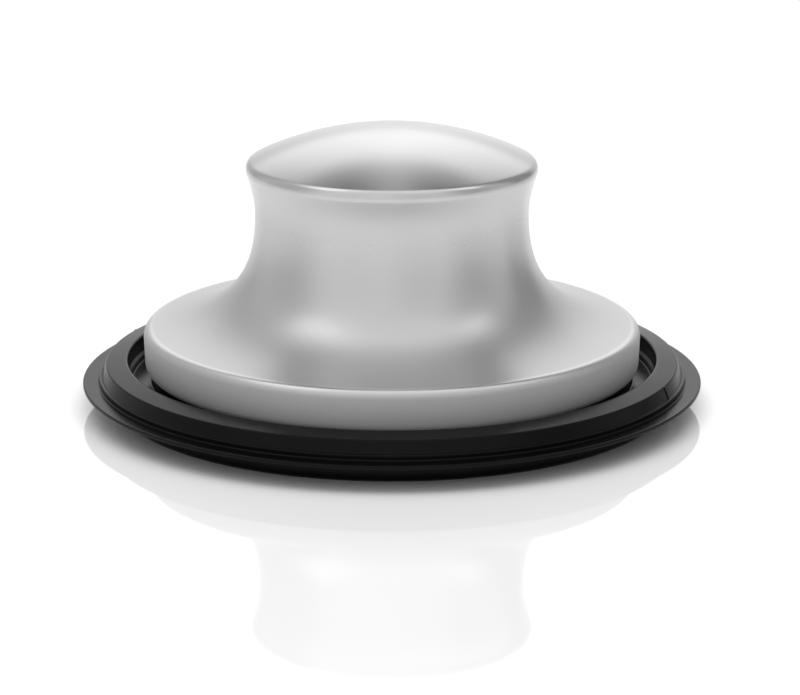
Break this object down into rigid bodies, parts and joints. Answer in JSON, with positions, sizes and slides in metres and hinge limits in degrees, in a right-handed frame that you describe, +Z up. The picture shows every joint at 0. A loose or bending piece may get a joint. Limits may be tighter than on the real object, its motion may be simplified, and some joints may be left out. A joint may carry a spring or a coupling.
{
  "type": "garbage disposal stopper",
  "caption": "Domed steel grip on a flared flange, set in a black rubber seal ring with a thin lip, held together from below by a clamp plate and screw.",
  "frame": {"origin": "centre of the circle that the seal ring stands on, at the bottom of the stopper", "axes": "+Z up along the axis the stopper is turned about; X and Y are any two square directions across it"},
  "size_m": [0.0856, 0.0856, 0.0388],
  "materials": {
    "brushed_shell": "satin, finely brushed round the axis",
    "turned_steel": "turned and cold-headed stainless, plain",
    "seal_rubber": "moulded, semi-matt black",
    "moulded_nylon": "moulded, fine matt grain, black"
  },
  "bodies": {
    "base": {"seal_ring": "seal_rubber", "clamp_plate": "moulded_nylon", "screw_o_ring": "seal_rubber", "flat_washer": "turned_steel", "spring_washer": "turned_steel"},
    "screw": {"clamp_screw": "turned_steel"},
    "top": {"knob_cap": "brushed_shell", "steel_body": "brushed_shell", "mounting_post": "turned_steel"}
  },
  "joints": [
    {"name": "screw_turn", "type": "hinge", "parent": "base", "child": "screw", "pos_m": [0, 0, 0.0046], "axis": [0, 0, -1], "range_deg": [0, 3600]},
    {"name": "top_lift", "type": "slide", "parent": "base", "child": "top", "axis": [0, 0, 1], "range_m": [0, 0.008]}
  ],
  "couplings": [
    {"joint": "screw_turn", "follows": "top_lift", "rad_per_m": 7854}
  ]
}
